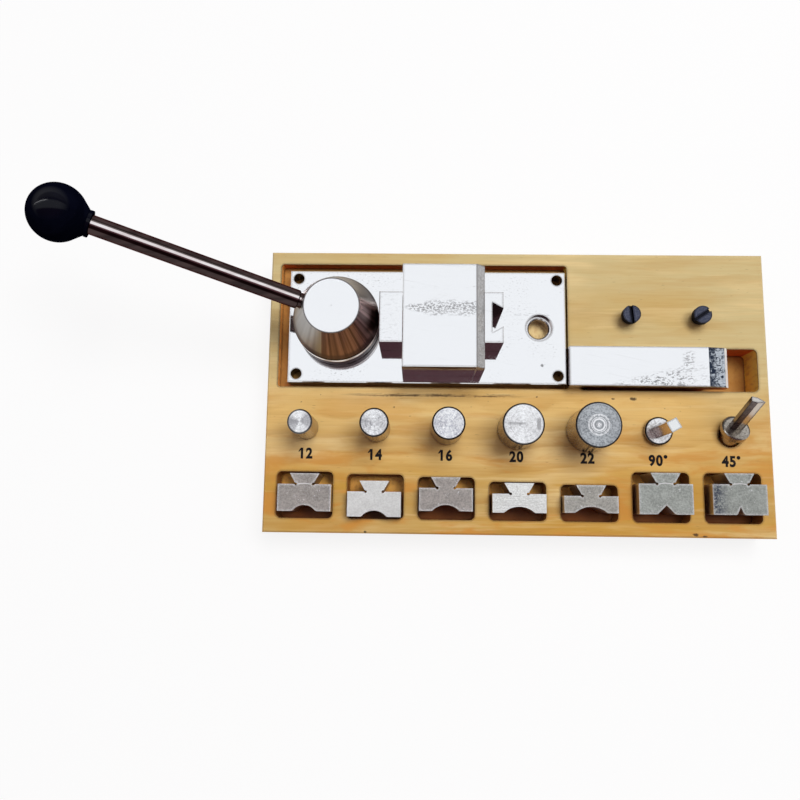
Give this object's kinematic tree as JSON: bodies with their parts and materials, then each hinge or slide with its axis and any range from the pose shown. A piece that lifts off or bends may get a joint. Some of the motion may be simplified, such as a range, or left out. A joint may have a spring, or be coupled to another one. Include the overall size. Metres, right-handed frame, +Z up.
{
  "type": "manual tube bender",
  "caption": "Hand-lever bender for metal strip and ring stock: an eccentric hub drives a dovetail slide to an upright punch, with its punches and dies in a wooden board.",
  "frame": {"origin": "centre of the wooden board's underside", "axes": "+X to the right along the board, towards the punch bore; +Y to the back; +Z up"},
  "size_m": [0.3502, 0.152, 0.1061],
  "materials": {
    "varnished_pine": "satin varnish",
    "polished_steel": "mirror polish",
    "turned_steel": "fine turned",
    "ground_steel": "matte ground",
    "plain_steel": "plain",
    "black_oxide_steel": "black oxide",
    "bronze": "plain",
    "black_plastic": "gloss"
  },
  "bodies": {
    "board": {"wood_base": "varnished_pine"},
    "press": {"base_plate": "polished_steel", "punch_bush": "polished_steel", "bridge": "polished_steel", "bridge_screws": "black_oxide_steel", "return_spring": "plain_steel", "stop_pin": "plain_steel", "pivot_bush": "bronze", "thrust_washer": "bronze"},
    "ram": {"slide": "polished_steel"},
    "lever": {"cam_hub": "polished_steel", "pivot_shaft": "plain_steel", "retaining_ring": "black_oxide_steel", "lever_rod": "polished_steel", "ball_knob": "black_plastic", "knob_insert": "bronze"},
    "punch_12_tool": {"punch_12": "turned_steel"},
    "punch_14_tool": {"punch_14": "turned_steel"},
    "punch_16_tool": {"punch_16": "turned_steel"},
    "punch_20_tool": {"punch_20": "turned_steel"},
    "punch_22_tool": {"punch_22": "turned_steel"},
    "punch_90_tool": {"punch_90": "turned_steel", "blade_90": "turned_steel"},
    "punch_45_tool": {"punch_45": "turned_steel", "blade_45": "turned_steel"},
    "die_12_tool": {"die_12": "ground_steel"},
    "die_14_tool": {"die_14": "ground_steel"},
    "die_16_tool": {"die_16": "ground_steel"},
    "die_20_tool": {"die_20": "ground_steel"},
    "die_22_tool": {"die_22": "ground_steel"},
    "die_90_tool": {"die_90": "ground_steel"},
    "die_45_tool": {"die_45": "ground_steel"},
    "vice_bar_tool": {"vice_bar": "polished_steel"},
    "bar_screw_left_tool": {"bar_screw_left": "black_oxide_steel"},
    "bar_screw_right_tool": {"bar_screw_right": "black_oxide_steel"}
  },
  "joints": [
    {"name": "press_lift", "type": "slide", "parent": "board", "child": "press", "axis": [0, 0, 1], "range_m": [0, 0.08]},
    {"name": "lever_turn", "type": "hinge", "parent": "press", "child": "lever", "pos_m": [-0.08965, 0.0322, 0.028], "axis": [0, 0, -1], "range_deg": [0, 110]},
    {"name": "slide_stroke", "type": "slide", "parent": "press", "child": "ram", "axis": [1, 0, 0], "range_m": [0, 0.003], "stiffness_N_per_m": 1200, "springref_m": -0.002, "deforming": ["return_spring"]},
    {"name": "punch_12_lift", "type": "slide", "parent": "board", "child": "punch_12_tool", "axis": [0, 0, 1], "range_m": [0, 0.04]},
    {"name": "punch_14_lift", "type": "slide", "parent": "board", "child": "punch_14_tool", "axis": [0, 0, 1], "range_m": [0, 0.04]},
    {"name": "punch_16_lift", "type": "slide", "parent": "board", "child": "punch_16_tool", "axis": [0, 0, 1], "range_m": [0, 0.04]},
    {"name": "punch_20_lift", "type": "slide", "parent": "board", "child": "punch_20_tool", "axis": [0, 0, 1], "range_m": [0, 0.04]},
    {"name": "punch_22_lift", "type": "slide", "parent": "board", "child": "punch_22_tool", "axis": [0, 0, 1], "range_m": [0, 0.04]},
    {"name": "punch_90_lift", "type": "slide", "parent": "board", "child": "punch_90_tool", "axis": [0, 0, 1], "range_m": [0, 0.04]},
    {"name": "punch_45_lift", "type": "slide", "parent": "board", "child": "punch_45_tool", "axis": [0.1023, 0.4263, 0.8988], "range_m": [0, 0.018]},
    {"name": "die_12_lift", "type": "slide", "parent": "board", "child": "die_12_tool", "axis": [0, 0, 1], "range_m": [0, 0.04]},
    {"name": "die_14_lift", "type": "slide", "parent": "board", "child": "die_14_tool", "axis": [0, 0, 1], "range_m": [0, 0.04]},
    {"name": "die_16_lift", "type": "slide", "parent": "board", "child": "die_16_tool", "axis": [0, 0, 1], "range_m": [0, 0.04]},
    {"name": "die_20_lift", "type": "slide", "parent": "board", "child": "die_20_tool", "axis": [0, 0, 1], "range_m": [0, 0.04]},
    {"name": "die_22_lift", "type": "slide", "parent": "board", "child": "die_22_tool", "axis": [0, 0, 1], "range_m": [0, 0.04]},
    {"name": "die_90_lift", "type": "slide", "parent": "board", "child": "die_90_tool", "axis": [0, 0, 1], "range_m": [0, 0.04]},
    {"name": "die_45_lift", "type": "slide", "parent": "board", "child": "die_45_tool", "axis": [0, 0, 1], "range_m": [0, 0.04]},
    {"name": "vice_bar_lift", "type": "slide", "parent": "board", "child": "vice_bar_tool", "axis": [0, 0, 1], "range_m": [0, 0.05]},
    {"name": "bar_screw_left_lift", "type": "slide", "parent": "board", "child": "bar_screw_left_tool", "axis": [0, 0, 1], "range_m": [0, 0.04]},
    {"name": "bar_screw_right_lift", "type": "slide", "parent": "board", "child": "bar_screw_right_tool", "axis": [0, 0, 1], "range_m": [0, 0.04]}
  ],
  "couplings": [
    {"joint": "slide_stroke", "follows": "lever_turn", "m_per_rad": 0.0015626}
  ]
}
